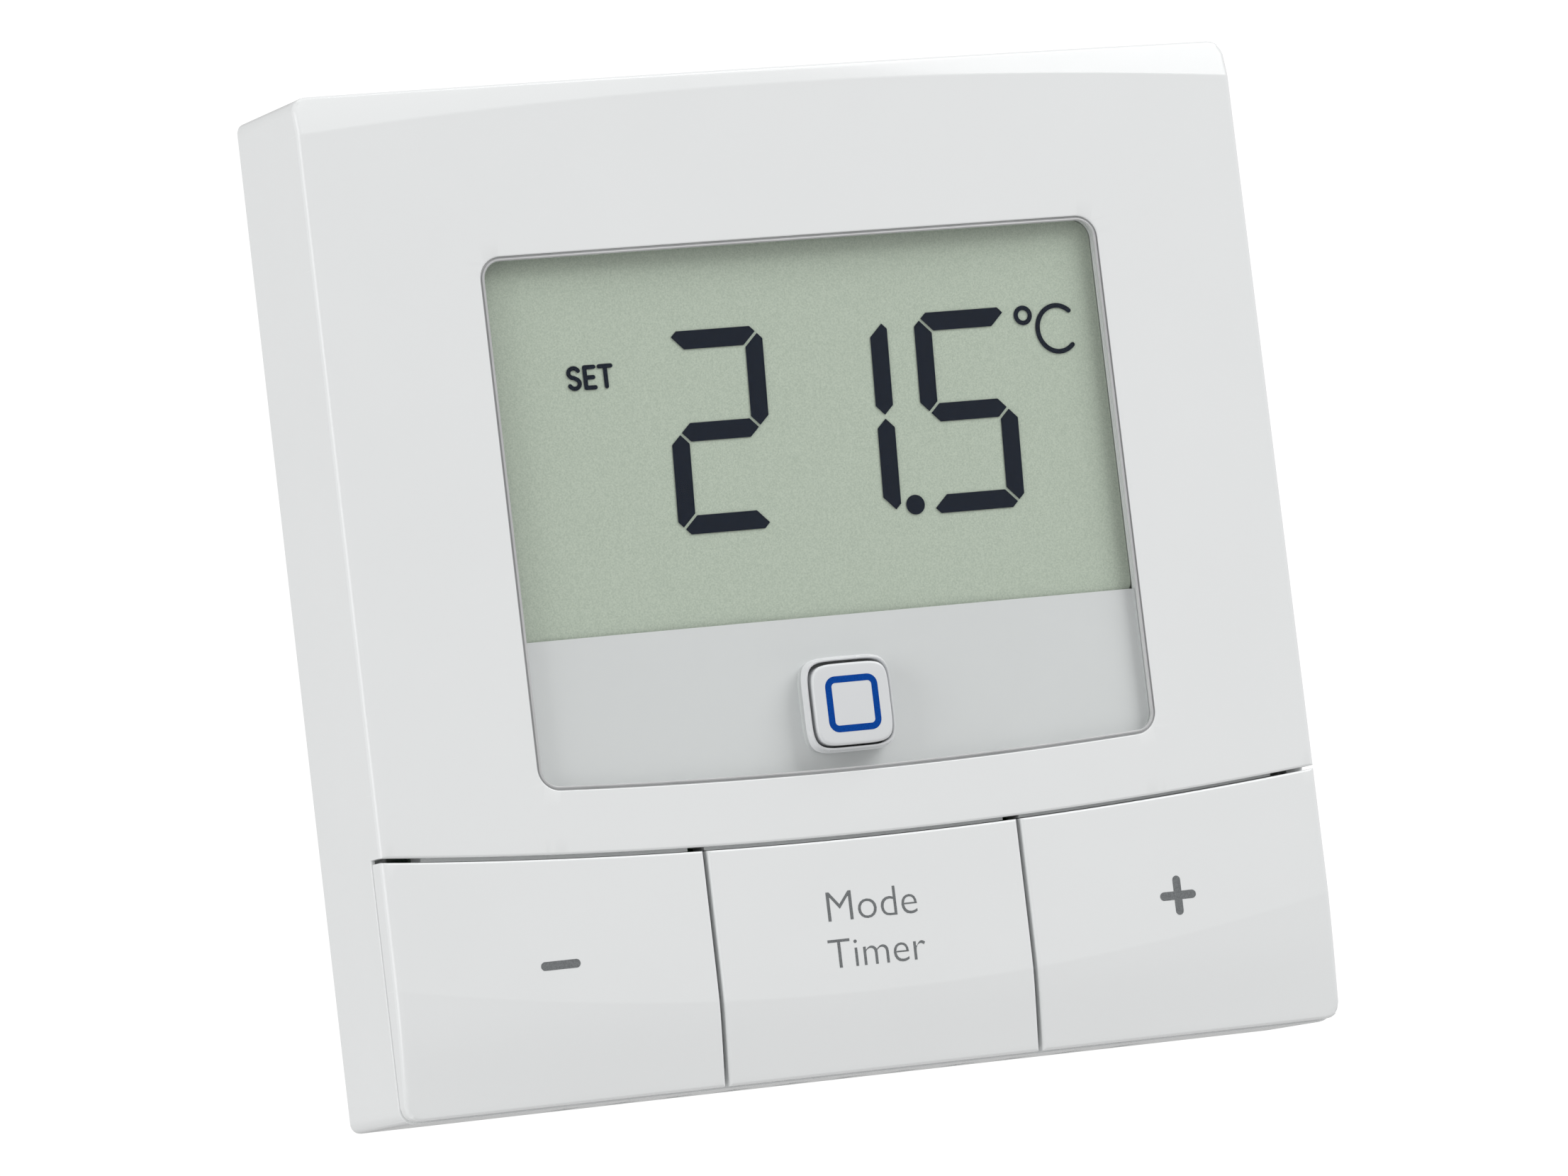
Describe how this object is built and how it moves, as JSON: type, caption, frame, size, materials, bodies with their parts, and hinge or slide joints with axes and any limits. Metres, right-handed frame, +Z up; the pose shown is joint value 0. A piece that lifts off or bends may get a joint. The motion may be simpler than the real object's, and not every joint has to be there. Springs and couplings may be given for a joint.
{
  "type": "wall thermostat",
  "caption": "Square battery-powered wall thermostat with a large display window, a round-cornered button below it and a row of keys, clipped to a flat mounting plate.",
  "frame": {"origin": "centre of the mounting plate's rear face, on the wall plane", "axes": "+X to the right as seen by someone facing the display, +Y into the wall, +Z up"},
  "size_m": [0.08, 0.0184, 0.08],
  "materials": {
    "housing_plastic": "white moulded plastic, fine satin sheen with soft reflections",
    "key_plastic": "white moulded plastic, same as the housing, with grey printed symbols",
    "button_plastic": "white moulded plastic with a blue outline",
    "window_clear": "clear moulded plastic, polished",
    "grey_print": "light grey print on film",
    "lcd": "reflective display glass, grey-green, matt front polariser",
    "reflector": "white diffusing film",
    "ribbon_film": "amber film",
    "socket_plastic": "cream, matt",
    "board_laminate": "green solder mask, satin",
    "chip_epoxy": "black, matt",
    "shield_can": "tinned sheet",
    "antenna_wire": "bare wire",
    "crystal_can": "drawn can",
    "led_resin": "clear resin",
    "capacitor_can": "drawn can",
    "switch_metal": "tinned frame",
    "plunger_plastic": "black, matt",
    "battery_sleeve": "printed sleeve, glossy",
    "spring_steel": "nickel plated wire",
    "contact_nickel": "nickel plated strip",
    "screw_steel": "zinc plated",
    "rear_plastic": "white moulded plastic, matt",
    "plate_plastic": "white moulded plastic, matt"
  },
  "bodies": {
    "wall_plate": {"mounting_plate": "plate_plastic"},
    "unit": {"front_cover": "housing_plastic", "rear_housing": "rear_plastic", "window_lens": "window_clear", "display_mask": "grey_print", "lcd_glass": "lcd", "lcd_reflector": "reflector", "lcd_ribbon": "ribbon_film", "ribbon_socket": "socket_plastic", "main_board": "board_laminate", "microcontroller": "chip_epoxy", "radio_module": "shield_can", "antenna": "antenna_wire", "crystal": "crystal_can", "climate_sensor": "chip_epoxy", "status_led": "led_resin", "buffer_capacitor": "capacitor_can", "switch_minus": "switch_metal", "switch_menu": "switch_metal", "switch_plus": "switch_metal", "switch_system": "switch_metal", "battery_1": "battery_sleeve", "battery_2": "battery_sleeve", "contact_spring_1": "spring_steel", "contact_spring_2": "spring_steel", "contact_plate_1": "contact_nickel", "contact_plate_2": "contact_nickel", "board_screw_1": "screw_steel", "board_screw_2": "screw_steel", "board_screw_3": "screw_steel", "board_screw_4": "screw_steel"},
    "key_minus": {"key_minus": "key_plastic"},
    "key_menu": {"key_menu": "key_plastic"},
    "key_plus": {"key_plus": "key_plastic"},
    "system_button": {"system_button": "button_plastic"},
    "plunger_minus": {"plunger_minus": "plunger_plastic"},
    "plunger_menu": {"plunger_menu": "plunger_plastic"},
    "plunger_plus": {"plunger_plus": "plunger_plastic"},
    "plunger_system": {"plunger_system": "plunger_plastic"}
  },
  "joints": [
    {"name": "unit_lift_off", "type": "slide", "parent": "wall_plate", "child": "unit", "axis": [0, -1, 0], "range_m": [0, 0.03]},
    {"name": "key_minus_press", "type": "hinge", "parent": "unit", "child": "key_minus", "pos_m": [-0.0265, -0.015, -0.0389], "axis": [-1, 0, 0], "range_deg": [0, 1], "stiffness_Nm_per_rad": 0.9, "springref_deg": -0.23},
    {"name": "key_menu_press", "type": "hinge", "parent": "unit", "child": "key_menu", "pos_m": [0, -0.015, -0.0389], "axis": [-1, 0, 0], "range_deg": [0, 1], "stiffness_Nm_per_rad": 0.9, "springref_deg": -0.23},
    {"name": "key_plus_press", "type": "hinge", "parent": "unit", "child": "key_plus", "pos_m": [0.0265, -0.015, -0.0389], "axis": [-1, 0, 0], "range_deg": [0, 1], "stiffness_Nm_per_rad": 0.9, "springref_deg": -0.23},
    {"name": "system_button_press", "type": "slide", "parent": "unit", "child": "system_button", "axis": [0, 1, 0], "range_m": [0, 0.00025], "stiffness_N_per_m": 5000, "springref_m": -0.00002},
    {"name": "plunger_minus_travel", "type": "slide", "parent": "unit", "child": "plunger_minus", "axis": [0, 1, 0], "range_m": [0, 0.00024]},
    {"name": "plunger_menu_travel", "type": "slide", "parent": "unit", "child": "plunger_menu", "axis": [0, 1, 0], "range_m": [0, 0.00024]},
    {"name": "plunger_plus_travel", "type": "slide", "parent": "unit", "child": "plunger_plus", "axis": [0, 1, 0], "range_m": [0, 0.00024]},
    {"name": "plunger_system_travel", "type": "slide", "parent": "unit", "child": "plunger_system", "axis": [0, 1, 0], "range_m": [0, 0.00026]}
  ],
  "couplings": [
    {"joint": "plunger_minus_travel", "follows": "key_minus_press", "m_per_rad": 0.0119},
    {"joint": "plunger_menu_travel", "follows": "key_menu_press", "m_per_rad": 0.0119},
    {"joint": "plunger_plus_travel", "follows": "key_plus_press", "m_per_rad": 0.0119},
    {"joint": "plunger_system_travel", "follows": "system_button_press", "ratio": 1}
  ]
}
